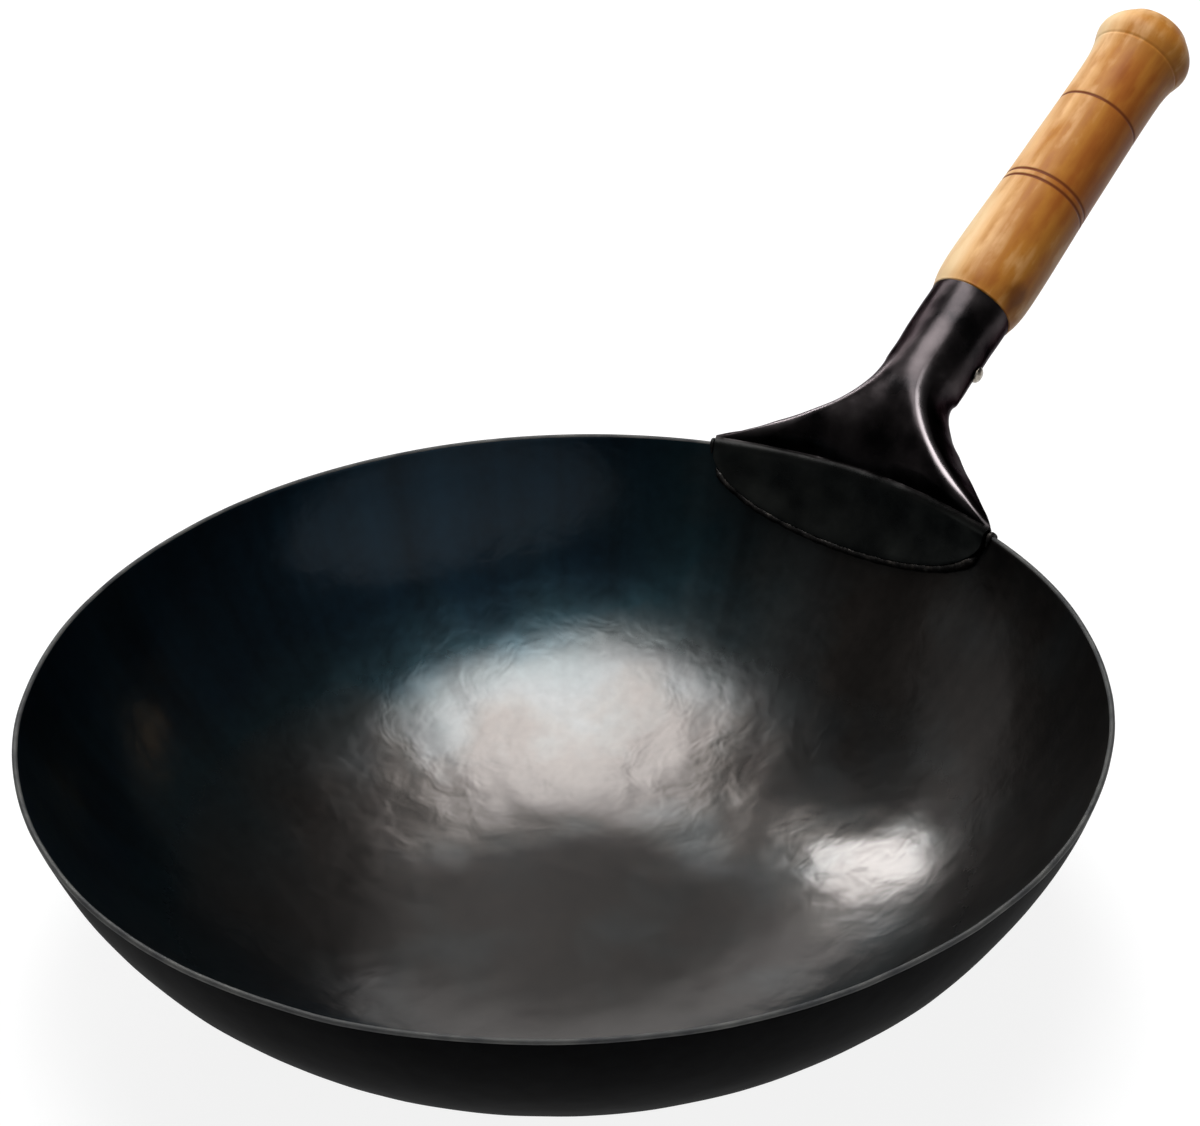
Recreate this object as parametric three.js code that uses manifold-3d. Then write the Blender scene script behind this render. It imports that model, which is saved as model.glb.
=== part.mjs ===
// Hand-forged iron wok: a flat-based sheet bowl, a handle socket rolled from a fan-shaped plate
// that laps inside the bowl and folds over its rim, weld beads, and a turned wooden grip.
// Millimetres, +Z up, handle along +X, origin at the centre of the flat base.
import * as THREE from 'three';
import { mergeVertices } from 'three/addons/utils/BufferGeometryUtils.js';
import Module from 'manifold-3d';

// Bowl
const RIM_RADIUS = 170;
const BASE_RADIUS = 52;
const BOWL_DEPTH = 86;
const BOWL_WALL = 1.8;

// Socket plate: the tongue inside the bowl, the fan above the rim and the rolled tube
const SHEET = 2;
const FAN_HALF_ANGLE = 19.2;
const CREASE_INSET_ANGLE = 1;
const TONGUE_DEPTH = 24.5;
const TONGUE_END_DEPTH = 4;
const FOLD_OVERHANG = 1.5;
const FOLD_LEAN = 20;
const FACE_ELBOW = 24.5;
const EDGE_ELBOW = 1;
const CREASE_REACH = 4;
const MOUTH_OUT = 65;
const MOUTH_UP = 37.2;
const HANDLE_RISE = 26;
const TUBE_LENGTH = 34;
const MOUTH_DIAMETER = 30.4;
const NECK_DIAMETER = 29.2;
const SEAM_GAP = 1.2;
const SHOULDER_ANGLE = 28;

// Grip, measured along its axis from the socket mouth
const GRIP_LENGTH = 137;
const TENON_STOP = 3;
const SHOULDER_PROUD = 0.2;
const SWELL_DIAMETER = 34.2;
const SWELL_AT = 14;
const MIDDLE_DIAMETER = 32.1;
const WAIST_DIAMETER = 31.2;
const WAIST_FROM_END = 25;
const KNOB_DIAMETER = 36;
const KNOB_FROM_END = 9;
const END_DIAMETER = 25;
const END_CROWN = 2;
const DOUBLE_RING_AT = 51.5;
const DOUBLE_RING_SPACING = 3;
const SINGLE_RING_AT = 91.5;
const KNOB_RING_FROM_END = 16;
const RING_WIDTH = 1.4;
const RING_DEPTH = 0.6;

// Nail through the side of the socket into the tenon
const NAIL_FROM_TENON_END = 8.5;
const NAIL_ANGLE = 105;
const NAIL_DIAMETER = 3;
const NAIL_LENGTH = 17;
const NAIL_POINT = 6;
const NAIL_HEAD_DIAMETER = 6;
const NAIL_HEAD_HEIGHT = 2;

// Welds and clearances
const BEAD_DIAMETER = 2.2;
const CORNER_BEAD_DIAMETER = 1.7;
const BEAD_END_SHARE = 0.45;
const LAP_BEAD_SHARE = 0.965;
const OUTSIDE_BEAD_SHARE = 0.78;
const CORNER_WELD_LEG = 3;
const FIT_GAP = 0.3;

// Facets
const BOWL_SEGMENTS = 84;
const WALL_STEPS = 15;
const FACE_COLUMNS = 7;
const FLANK_COLUMNS = 10;
const TONGUE_ROWS = 5;
const FOLD_ROWS = 2;
const FAN_ROWS = 13;
const TUBE_ROWS = 2;
const GRIP_SEGMENTS = 32;
const GRIP_STEPS = 30;
const NAIL_SEGMENTS = 16;
const BEAD_SIDES = 8;

const rad = THREE.MathUtils.degToRad;
const lerp = THREE.MathUtils.lerp;
const point = (x, y, z) => new THREE.Vector3(x, y, z);

const IRON = { color: 0x17181a, roughness: 0.42, metalness: 0.9 };
const SOCKET_IRON = { color: 0x1c1a1d, roughness: 0.5, metalness: 0.85 };
const WELD_IRON = { color: 0x2b2624, roughness: 0.65, metalness: 0.8 };
const VARNISHED_WOOD = { color: 0xc58a45, roughness: 0.4, metalness: 0 };
const NAIL_STEEL = { color: 0x8d867c, roughness: 0.35, metalness: 0.95 };

// The bowl's outer wall is one arc, tangent to the flat base and passing through the rim.
const WALL_ARC = ((RIM_RADIUS - BASE_RADIUS) ** 2 + BOWL_DEPTH ** 2) / (2 * BOWL_DEPTH);
const RIM_TILT = Math.atan2(RIM_RADIUS - BASE_RADIUS, WALL_ARC - BOWL_DEPTH);

// Point of the wall in the (radius, height) plane, some way in from the outer face.
function wallPoint(tilt, inset) {
  const radius = WALL_ARC - inset;
  return new THREE.Vector2(BASE_RADIUS + radius * Math.sin(tilt), WALL_ARC - radius * Math.cos(tilt));
}

// Turns a (radius, height) point to an angle round the bowl.
function aroundBowl(profilePoint, angle) {
  return point(profilePoint.x * Math.cos(angle), profilePoint.x * Math.sin(angle), profilePoint.y);
}

// Closed solid from rings of points, each ring a closed loop, with the two end rings capped.
// A ring's first half runs along one face and its second half comes back along the other.
function loftSolid(rings) {
  const size = rings[0].length;
  const index = [];
  for (let row = 0; row + 1 < rings.length; row += 1) {
    for (let k = 0; k < size; k += 1) {
      const a = row * size + k;
      const b = row * size + ((k + 1) % size);
      index.push(a, b, b + size, a, b + size, a + size);
    }
  }
  const last = (rings.length - 1) * size;
  for (let k = 0; k + 1 < size / 2; k += 1) {
    const far = size - 1 - k;
    index.push(k, far, k + 1, k + 1, far, far - 1);
    index.push(last + k, last + k + 1, last + far, last + k + 1, last + far - 1, last + far);
  }
  const geometry = new THREE.BufferGeometry().setFromPoints(rings.flat());
  geometry.setIndex(index);
  return geometry;
}

// Thickens a grid of points on the middle of a sheet into a closed solid.
function sheetSolid(rows, thickness) {
  const at = (i, j) => rows[Math.min(Math.max(i, 0), rows.length - 1)][
    Math.min(Math.max(j, 0), rows[0].length - 1)];
  const rings = rows.map((row, i) => {
    const normals = row.map((p, j) => {
      const along = at(i + 1, j).clone().sub(at(i - 1, j));
      const across = at(i, j + 1).clone().sub(at(i, j - 1));
      return across.cross(along).normalize();
    });
    const side = (sign) => row.map((p, j) => p.clone().addScaledVector(normals[j], sign * thickness / 2));
    return [...side(1), ...side(-1).reverse()];
  });
  return loftSolid(rings);
}

// Round bead of weld metal along a curve, drawn to a blunt point at both ends.
function beadSolid(curve, diameter, steps) {
  const frames = curve.computeFrenetFrames(steps, false);
  const rings = [];
  for (let i = 0; i <= steps; i += 1) {
    const swell = i === 0 || i === steps ? BEAD_END_SHARE : 1;
    const ring = [];
    for (let k = 0; k < BEAD_SIDES; k += 1) {
      const turn = 2 * Math.PI * k / BEAD_SIDES;
      ring.push(curve.getPointAt(i / steps)
        .addScaledVector(frames.normals[i], swell * diameter / 2 * Math.cos(turn))
        .addScaledVector(frames.binormals[i], swell * diameter / 2 * Math.sin(turn)));
    }
    rings.push(ring);
  }
  return loftSolid(rings);
}

const wasm = await Module();
wasm.setup();

function toManifold(geometry) {
  const bare = geometry.clone();
  bare.deleteAttribute('normal');
  bare.deleteAttribute('uv');
  const merged = mergeVertices(bare, 1e-4);
  return new wasm.Manifold(new wasm.Mesh({
    numProp: 3,
    vertProperties: Float32Array.from(merged.attributes.position.array),
    triVerts: Uint32Array.from(merged.index.array),
  }));
}

function cut(geometry, cutter) {
  const mesh = toManifold(geometry).subtract(toManifold(cutter)).getMesh();
  const result = new THREE.BufferGeometry();
  result.setAttribute('position', new THREE.BufferAttribute(Float32Array.from(mesh.vertProperties), 3));
  result.setIndex(Array.from(mesh.triVerts));
  return result;
}

function piece(name, geometry, finish) {
  geometry.computeVertexNormals();
  const mesh = new THREE.Mesh(geometry, new THREE.MeshStandardMaterial(finish));
  mesh.name = name;
  return mesh;
}

// Middle of the wall at the rim, about which its cut edge is rounded.
const RIM_CENTRE = wallPoint(RIM_TILT, BOWL_WALL / 2);

// Bowl: flat base, arc wall and a rim whose cut edge is rounded over.
function bowlGeometry() {
  const profile = [new THREE.Vector2(0, 0)];
  for (let i = 0; i <= WALL_STEPS; i += 1) {
    profile.push(wallPoint(RIM_TILT * i / WALL_STEPS, 0));
  }
  for (const turn of [45, 90, 135]) {
    const angle = RIM_TILT - Math.PI / 2 + rad(turn);
    profile.push(new THREE.Vector2(
      RIM_CENTRE.x + BOWL_WALL / 2 * Math.cos(angle),
      RIM_CENTRE.y + BOWL_WALL / 2 * Math.sin(angle),
    ));
  }
  for (let i = WALL_STEPS; i >= 0; i -= 1) {
    profile.push(wallPoint(RIM_TILT * i / WALL_STEPS, BOWL_WALL));
  }
  profile.push(new THREE.Vector2(0, BOWL_WALL));
  return new THREE.LatheGeometry(profile, BOWL_SEGMENTS).rotateX(Math.PI / 2);
}

// Handle axis: from the socket mouth down towards the rim, and the round section of the tube.
const MOUTH = point(RIM_RADIUS + MOUTH_OUT, 0, BOWL_DEPTH + MOUTH_UP);
const AXIS = point(Math.cos(rad(HANDLE_RISE)), 0, Math.sin(rad(HANDLE_RISE)));
const SECTION_UP = point(-AXIS.z, 0, AXIS.x);
const SEAM_ANGLE = 180 - THREE.MathUtils.radToDeg(SEAM_GAP / (NECK_DIAMETER - SHEET));

function tubeRadius(down) {
  return lerp(MOUTH_DIAMETER, NECK_DIAMETER, down / TUBE_LENGTH) / 2;
}

// Direction across the axis, at an angle from the top of the tube towards +Y.
function spoke(degrees) {
  return SECTION_UP.clone().multiplyScalar(Math.cos(rad(degrees)))
    .add(point(0, Math.sin(rad(degrees)), 0));
}

function tubePoint(down, degrees) {
  return MOUTH.clone().addScaledVector(AXIS, -down)
    .addScaledVector(spoke(degrees), tubeRadius(down) - SHEET / 2);
}

// The plate's middle layer over the rim: it turns about the rounded edge, then stands out from it.
const FOLD_RADIUS = BOWL_WALL / 2 + FIT_GAP + SHEET / 2;
const FOLD_START = 90 + THREE.MathUtils.radToDeg(RIM_TILT);
const FOLD_END = 90 + FOLD_LEAN;

function foldPoint(degrees, overhang) {
  const turn = rad(degrees);
  return new THREE.Vector2(
    RIM_CENTRE.x + FOLD_RADIUS * Math.cos(turn) + overhang * Math.sin(turn),
    RIM_CENTRE.y + FOLD_RADIUS * Math.sin(turn) - overhang * Math.cos(turn),
  );
}

const CREASE_ANGLE = FAN_HALF_ANGLE - CREASE_INSET_ANGLE;

// Angle round the bowl of each column of the half plate, from its middle to its side edge.
function columnAngles() {
  const angles = [];
  for (let k = 0; k <= FACE_COLUMNS; k += 1) {
    angles.push(rad(CREASE_ANGLE * k / FACE_COLUMNS));
  }
  for (let k = 1; k <= FLANK_COLUMNS; k += 1) {
    angles.push(rad(CREASE_ANGLE + CREASE_INSET_ANGLE * k / FLANK_COLUMNS));
  }
  return angles;
}

// The tongue's lower edge is half an ellipse, a little cut off at its two ends.
const TONGUE_END_SHARE = Math.sqrt(1 - (TONGUE_END_DEPTH / TONGUE_DEPTH) ** 2);

function tonguePoint(angle, share, inset) {
  const along = angle / rad(FAN_HALF_ANGLE) * TONGUE_END_SHARE;
  const depth = share * TONGUE_DEPTH * Math.sqrt(1 - along ** 2);
  const tilt = RIM_TILT - depth / (WALL_ARC - BOWL_WALL);
  return aroundBowl(wallPoint(tilt, inset), angle);
}

// Bezier handles as shares of the chord: along a flat run, and round the rolled flank.
const STRAIGHT_HANDLE = 1 / 3;
const ROLLED_HANDLE = 0.53;

// Half a section of the fan, between the rim (t = 0) and the tube (t = 1): a flat face from the
// middle line to the crease, and a flank that folds back from the crease and rolls under.
function fanHalfSection(t) {
  const rimEdge = foldPoint(FOLD_END, FOLD_OVERHANG);
  const round = THREE.MathUtils.smoothstep(t, 0, 1);
  const creased = Math.sin(Math.PI * t);
  const rail = (rimAngle, tubeAngle, elbow) => {
    const end = tubePoint(TUBE_LENGTH, tubeAngle);
    const control = end.clone().addScaledVector(AXIS, -elbow);
    return new THREE.QuadraticBezierCurve3(aroundBowl(rimEdge, rimAngle), control, end).getPoint(t);
  };
  const tangent = (degrees) => spoke(degrees + 90);
  const rimTangent = (angle) => point(-Math.sin(angle), Math.cos(angle), 0);
  const top = rail(0, 0, FACE_ELBOW);
  const crease = rail(rad(CREASE_ANGLE), SHOULDER_ANGLE, FACE_ELBOW);
  const edge = rail(rad(FAN_HALF_ANGLE), SEAM_ANGLE, EDGE_ELBOW);

  const faceLength = top.distanceTo(crease);
  const flankLength = crease.distanceTo(edge);
  const faceRun = crease.clone().sub(top).normalize();
  const flankRun = edge.clone().sub(crease).normalize();
  const bend = faceRun.clone().add(flankRun).normalize();
  const atCrease = bend.lerp(rimTangent(rad(CREASE_ANGLE)), 1 - creased)
    .lerp(tangent(SHOULDER_ANGLE), round).normalize();
  const atEdge = flankRun.clone().lerp(tangent(SEAM_ANGLE), round).normalize();
  const faceHandle = faceLength * STRAIGHT_HANDLE;
  const flankHandle = flankLength * lerp(STRAIGHT_HANDLE, ROLLED_HANDLE, round);
  const beforeCrease = lerp(faceHandle, Math.min(CREASE_REACH, faceHandle), creased);
  const afterCrease = lerp(flankHandle, Math.min(CREASE_REACH, flankHandle), creased);

  const face = new THREE.CubicBezierCurve3(
    top,
    top.clone().add(point(0, faceHandle, 0)),
    crease.clone().addScaledVector(atCrease, -beforeCrease),
    crease,
  );
  const flank = new THREE.CubicBezierCurve3(
    crease,
    crease.clone().addScaledVector(atCrease, afterCrease),
    edge.clone().addScaledVector(atEdge, -flankHandle),
    edge,
  );
  return [...face.getPoints(FACE_COLUMNS), ...flank.getPoints(FLANK_COLUMNS).slice(1)];
}

// Completes a half row by its mirror image, from the -Y edge to the +Y edge.
function wholeRow(half) {
  const mirrored = half.slice(1).reverse().map((p) => point(p.x, -p.y, p.z));
  return [...mirrored, ...half];
}

function socketGeometry() {
  const angles = columnAngles();
  const inset = BOWL_WALL + FIT_GAP + SHEET / 2;
  const rows = [];
  for (let i = 0; i < TONGUE_ROWS; i += 1) {
    rows.push(angles.map((angle) => tonguePoint(angle, 1 - i / TONGUE_ROWS, inset)));
  }
  for (let i = 0; i <= FOLD_ROWS; i += 1) {
    const turn = lerp(FOLD_START, FOLD_END, i / FOLD_ROWS);
    rows.push(angles.map((angle) => aroundBowl(foldPoint(turn, 0), angle)));
  }
  for (let i = 0; i <= FAN_ROWS; i += 1) {
    rows.push(fanHalfSection(i / FAN_ROWS));
  }
  const neck = fanHalfSection(1);
  const neckCentre = MOUTH.clone().addScaledVector(AXIS, -TUBE_LENGTH);
  for (let i = 1; i <= TUBE_ROWS; i += 1) {
    const down = TUBE_LENGTH * (1 - i / TUBE_ROWS);
    const grown = (tubeRadius(down) - SHEET / 2) / (tubeRadius(TUBE_LENGTH) - SHEET / 2);
    const centre = MOUTH.clone().addScaledVector(AXIS, -down);
    rows.push(neck.map((p) => p.clone().sub(neckCentre).multiplyScalar(grown).add(centre)));
  }
  return sheetSolid(rows.map(wholeRow), SHEET);
}

const TENON_LENGTH = TUBE_LENGTH - TENON_STOP;

// Outline of the turned grip, from the end of its tenon to its rounded knob, with scorched rings.
function gripProfile() {
  const waistAt = GRIP_LENGTH - WAIST_FROM_END;
  const ringPlaces = [
    DOUBLE_RING_AT - DOUBLE_RING_SPACING / 2,
    DOUBLE_RING_AT + DOUBLE_RING_SPACING / 2,
    SINGLE_RING_AT,
    GRIP_LENGTH - KNOB_RING_FROM_END,
  ];
  const tenonEnd = tubeRadius(TENON_LENGTH) - SHEET - FIT_GAP;
  const tenonMouth = tubeRadius(0) - SHEET - FIT_GAP;
  const outline = new THREE.SplineCurve([
    new THREE.Vector2(MOUTH_DIAMETER / 2 + SHOULDER_PROUD, FIT_GAP),
    new THREE.Vector2(SWELL_DIAMETER / 2, SWELL_AT),
    new THREE.Vector2(MIDDLE_DIAMETER / 2, (SWELL_AT + waistAt) / 2),
    new THREE.Vector2(WAIST_DIAMETER / 2, waistAt),
    new THREE.Vector2(KNOB_DIAMETER / 2, GRIP_LENGTH - KNOB_FROM_END),
    new THREE.Vector2(END_DIAMETER / 2, GRIP_LENGTH),
  ]);
  const smooth = outline.getPoints(GRIP_STEPS);
  const radiusAt = (height) => {
    const above = smooth.findIndex((p) => p.y >= height);
    const low = smooth[above - 1];
    const high = smooth[above];
    return lerp(low.x, high.x, (height - low.y) / (high.y - low.y));
  };
  const nearRing = (p) => ringPlaces.some((place) => Math.abs(p.y - place) < RING_WIDTH);
  const rings = ringPlaces.flatMap((place) => [
    new THREE.Vector2(radiusAt(place - RING_WIDTH / 2), place - RING_WIDTH / 2),
    new THREE.Vector2(radiusAt(place) - RING_DEPTH, place),
    new THREE.Vector2(radiusAt(place + RING_WIDTH / 2), place + RING_WIDTH / 2),
  ]);
  const body = [...smooth.filter((p) => !nearRing(p)), ...rings].sort((a, b) => a.y - b.y);
  return [
    new THREE.Vector2(0, -TENON_LENGTH),
    new THREE.Vector2(tenonEnd, -TENON_LENGTH),
    new THREE.Vector2(tenonMouth, FIT_GAP),
    ...body,
    new THREE.Vector2(0, GRIP_LENGTH + END_CROWN),
  ];
}

function turned(profile, segments) {
  return new THREE.LatheGeometry(profile, segments).rotateX(Math.PI / 2);
}

function nailProfile() {
  const shank = NAIL_DIAMETER / 2;
  const head = NAIL_HEAD_DIAMETER / 2;
  const dome = new THREE.EllipseCurve(0, 0, head, NAIL_HEAD_HEIGHT, 0, rad(80));
  return [
    new THREE.Vector2(0, -NAIL_LENGTH),
    new THREE.Vector2(shank, NAIL_POINT - NAIL_LENGTH),
    new THREE.Vector2(shank, 0),
    ...dome.getPoints(3),
    new THREE.Vector2(0, NAIL_HEAD_HEIGHT),
  ];
}

const handleFrame = new THREE.Matrix4().makeBasis(SECTION_UP, point(0, -1, 0), AXIS);
const handleTurn = new THREE.Quaternion().setFromRotationMatrix(handleFrame);
const nailAt = TENON_LENGTH - NAIL_FROM_TENON_END;
const nailOut = spoke(-NAIL_ANGLE);
const nailSeat = MOUTH.clone().addScaledVector(AXIS, -nailAt)
  .addScaledVector(nailOut, tubeRadius(nailAt) + FIT_GAP);
const nailTurn = new THREE.Quaternion().setFromUnitVectors(point(0, 0, 1), nailOut);

function placed(geometry, turn, place) {
  return geometry.applyQuaternion(turn).translate(place.x, place.y, place.z);
}

// One drill for the nail goes through the socket wall and into the tenon.
function nailHole() {
  const drill = NAIL_DIAMETER / 2 + FIT_GAP;
  const depth = NAIL_LENGTH + FIT_GAP;
  const hole = new THREE.CylinderGeometry(drill, drill, depth + SHEET, NAIL_SEGMENTS);
  return placed(hole.rotateX(Math.PI / 2).translate(0, 0, (SHEET - depth) / 2), nailTurn, nailSeat);
}

// Fillet weld inside the bowl, in the corner between the wall and the tongue's lower edge.
function lapBead() {
  const reach = BEAD_DIAMETER / 2 + FIT_GAP;
  const inset = BOWL_WALL + reach;
  const points = [];
  const steps = 24;
  const step = rad(FAN_HALF_ANGLE) * LAP_BEAD_SHARE / steps;
  for (let i = -steps; i <= steps; i += 2) {
    const edge = tonguePoint(i * step, 1, inset);
    const along = tonguePoint((i + 0.5) * step, 1, inset).sub(tonguePoint((i - 0.5) * step, 1, inset));
    const inward = tonguePoint(i * step, 1, inset + 1).sub(edge);
    points.push(edge.addScaledVector(inward.cross(along).normalize(), reach));
  }
  return beadSolid(new THREE.CatmullRomCurve3(points), BEAD_DIAMETER, 40);
}

// Weld outside the bowl, in the notch between its rim and the underside of the folded plate.
function outsideBead() {
  const fromRim = BOWL_WALL / 2 + FIT_GAP + BEAD_DIAMETER / 2;
  const fromPlate = SHEET / 2 + FIT_GAP + BEAD_DIAMETER / 2;
  const foldEnd = foldPoint(FOLD_END, FOLD_OVERHANG).sub(RIM_CENTRE);
  const span = foldEnd.length();
  const apart = Math.acos((fromRim ** 2 + span ** 2 - fromPlate ** 2) / (2 * fromRim * span));
  const turn = foldEnd.angle() - apart;
  const centre = new THREE.Vector2(Math.cos(turn), Math.sin(turn)).multiplyScalar(fromRim).add(RIM_CENTRE);
  const points = [];
  const steps = 16;
  for (let i = 0; i <= steps; i += 1) {
    points.push(aroundBowl(centre, rad(FAN_HALF_ANGLE) * OUTSIDE_BEAD_SHARE * (2 * i / steps - 1)));
  }
  return beadSolid(new THREE.CatmullRomCurve3(points), BEAD_DIAMETER, 32);
}

// Weld that saddles the rim beside one end of the plate, where its side edge crosses the rim.
function cornerWeld(side) {
  const reach = BOWL_WALL / 2 + FIT_GAP + CORNER_BEAD_DIAMETER / 2;
  const angle = side * (rad(FAN_HALF_ANGLE) + (FIT_GAP + CORNER_BEAD_DIAMETER / 2) / RIM_RADIUS);
  const inner = wallPoint(RIM_TILT - CORNER_WELD_LEG / WALL_ARC, BOWL_WALL / 2 + reach);
  const outer = wallPoint(RIM_TILT - CORNER_WELD_LEG / WALL_ARC, BOWL_WALL / 2 - reach);
  const over = [0, 45, 90, 135, 180].map((turn) => {
    const around = rad(FOLD_START - turn);
    return new THREE.Vector2(Math.cos(around), Math.sin(around)).multiplyScalar(reach).add(RIM_CENTRE);
  });
  const points = [inner, ...over, outer].map((p) => aroundBowl(p, angle));
  return beadSolid(new THREE.CatmullRomCurve3(points), CORNER_BEAD_DIAMETER, 14);
}

const wok = new THREE.Group();
wok.add(piece('wok_bowl', bowlGeometry(), IRON));
wok.add(piece('handle_socket', cut(socketGeometry(), nailHole()), SOCKET_IRON));
const grip = placed(turned(gripProfile(), GRIP_SEGMENTS), handleTurn, MOUTH);
wok.add(piece('wooden_grip', cut(grip, nailHole()), VARNISHED_WOOD));
const nail = placed(turned(nailProfile(), NAIL_SEGMENTS), nailTurn, nailSeat);
wok.add(piece('retaining_nail', nail, NAIL_STEEL));
wok.add(piece('lap_weld_bead', lapBead(), WELD_IRON));
wok.add(piece('outside_weld_bead', outsideBead(), WELD_IRON));
wok.add(piece('left_corner_weld', cornerWeld(1), WELD_IRON));
wok.add(piece('right_corner_weld', cornerWeld(-1), WELD_IRON));

export default wok;
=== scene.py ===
import math

import bpy
from mathutils import Matrix, Vector, noise


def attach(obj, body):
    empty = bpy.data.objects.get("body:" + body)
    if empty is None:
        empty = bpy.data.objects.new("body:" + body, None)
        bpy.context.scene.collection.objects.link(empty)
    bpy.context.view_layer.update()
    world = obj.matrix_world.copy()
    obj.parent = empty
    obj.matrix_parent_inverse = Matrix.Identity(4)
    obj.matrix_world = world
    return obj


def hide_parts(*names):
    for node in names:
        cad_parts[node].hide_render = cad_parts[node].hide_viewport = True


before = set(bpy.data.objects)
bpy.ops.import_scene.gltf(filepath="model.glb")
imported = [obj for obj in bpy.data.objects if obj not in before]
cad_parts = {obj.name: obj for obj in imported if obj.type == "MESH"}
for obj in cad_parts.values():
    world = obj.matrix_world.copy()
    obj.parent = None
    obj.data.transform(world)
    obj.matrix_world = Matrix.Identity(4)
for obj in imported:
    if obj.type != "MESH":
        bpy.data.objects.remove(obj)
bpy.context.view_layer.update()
scene = bpy.context.scene

# Bowl. One disc of sheet iron, hammered over a form until its wall rises from a flat base to a
# plain cut rim, then heated blue-black and oiled. The other pieces are fixed to it.
MM = 0.001
RIM_RADIUS = 170 * MM
BASE_RADIUS = 52 * MM
BOWL_DEPTH = 86 * MM
BOWL_WALL = 1.8 * MM
WALL_ARC = ((RIM_RADIUS - BASE_RADIUS) ** 2 + BOWL_DEPTH ** 2) / (2 * BOWL_DEPTH)
RIM_TILT = math.atan2(RIM_RADIUS - BASE_RADIUS, WALL_ARC - BOWL_DEPTH)
RIM_ROUNDING = 0.88 * MM
BLUE_SIDE = (-0.35, 0.94, 0)


def colour(text):
    """Linear colour of an sRGB hex value."""
    channels = [int(text[k:k + 2], 16) / 255 for k in (1, 3, 5)]
    linear = [c / 12.92 if c <= 0.04045 else ((c + 0.055) / 1.055) ** 2.4 for c in channels]
    return (*linear, 1)


def add(tree, kind, inputs=None, stops=None, **settings):
    """Adds a node with its settings; an input takes a value, a socket, or a node's first output."""
    made = tree.nodes.new(kind)
    for name, value in settings.items():
        setattr(made, name, value)
    for place, value in (inputs or {}).items():
        if isinstance(value, bpy.types.Node):
            value = value.outputs[0]
        if isinstance(value, bpy.types.NodeSocket):
            tree.links.new(value, made.inputs[place])
        else:
            made.inputs[place].default_value = value
    if stops:
        ramp = made.color_ramp.elements
        while len(ramp) < len(stops):
            ramp.new(1)
        for element, (place, tint) in zip(ramp, stops):
            element.position = place
            element.color = colour(tint)
    return made


def finish_named(name):
    """An empty material, with its node tree, its shader and the piece's own coordinates."""
    made = bpy.data.materials.new(name)
    made.use_nodes = True
    tree = made.node_tree
    place = add(tree, "ShaderNodeTexCoord").outputs["Object"]
    return made, tree, tree.nodes["Principled BSDF"], place


# Blued iron: a brown-grey oxide film that turns blue-green up the wall on one side, in streaks that
# run up the wall, under oil that thins towards the rim. It gives the eye dark, clouded reflections
# that break up in fine hammered crinkles. The grit is drawn coarser than it is, so that it shows.
blued_iron, tree, shader, place = finish_named("blued_oiled_iron")
cloud = add(tree, "ShaderNodeTexNoise", {"Vector": place, "Scale": 1 / (38 * MM), "Detail": 5.0})
split = add(tree, "ShaderNodeSeparateXYZ", {0: place})
up_wall = add(tree, "ShaderNodeMapRange", {
    "Value": split.outputs["Z"], 1: 6 * MM, 2: 52 * MM}, interpolation_type="SMOOTHSTEP")
to_blue_side = add(tree, "ShaderNodeVectorMath", {0: place, 1: BLUE_SIDE}, operation="DOT_PRODUCT")
blue_side = add(tree, "ShaderNodeMapRange", {
    "Value": to_blue_side.outputs["Value"], 1: -80 * MM, 2: 70 * MM},
    interpolation_type="SMOOTHSTEP")
blueing = add(tree, "ShaderNodeMath", {0: up_wall, 1: blue_side}, operation="MULTIPLY")
from_mean = add(tree, "ShaderNodeMath", {0: cloud, 1: 0.5}, operation="SUBTRACT")
clouded = add(tree, "ShaderNodeMath", {0: from_mean, 1: 0.7, 2: blueing}, operation="MULTIPLY_ADD")
film = add(tree, "ShaderNodeValToRGB", {0: clouded}, stops=[
    (0.0, "#3b3633"), (0.06, "#3e3c3a"), (0.13, "#404141"), (0.3, "#393f40"),
    (0.55, "#1f373f"), (0.95, "#0f2735")])
warp = add(tree, "ShaderNodeTexNoise", {"Vector": place, "Scale": 1 / (24 * MM), "Detail": 1.0})
warp_shift = add(tree, "ShaderNodeVectorMath", {
    0: warp.outputs["Color"], 1: (9 * MM,) * 3, 2: place}, operation="MULTIPLY_ADD")
crinkle = add(tree, "ShaderNodeTexNoise", {
    "Vector": warp_shift, "Scale": 1 / (10 * MM), "Detail": 2.0, "Distortion": 0.3})
grit = add(tree, "ShaderNodeTexNoise", {"Vector": place, "Scale": 1 / (4 * MM), "Detail": 2.0})
patchy = add(tree, "ShaderNodeMapRange", {"Value": grit, 1: 0.3, 2: 0.7, 3: 0.9, 4: 1.08})
flattened = add(tree, "ShaderNodeVectorMath", {0: place, 1: (1, 1, 0)}, operation="MULTIPLY")
heading = add(tree, "ShaderNodeVectorMath", {0: flattened}, operation="NORMALIZE")
runs = add(tree, "ShaderNodeTexNoise", {"Vector": heading, "Scale": 7.0, "Detail": 3.0})
run_tone = add(tree, "ShaderNodeMapRange", {"Value": runs, 1: 0.3, 2: 0.7, 3: -0.45, 4: 0.55})
streaked = add(tree, "ShaderNodeMath", {
    0: run_tone, 1: up_wall, 2: patchy}, operation="MULTIPLY_ADD")
mottled = add(tree, "ShaderNodeVectorMath", {
    0: film.outputs[0], "Scale": streaked}, operation="SCALE")
tree.links.new(mottled.outputs[0], shader.inputs["Base Color"])
wall_gloss = add(tree, "ShaderNodeMapRange", {"Value": up_wall, 3: 0.19, 4: 0.32})
gloss = add(tree, "ShaderNodeMath", {0: grit, 1: 0.04, 2: wall_gloss}, operation="MULTIPLY_ADD")
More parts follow.
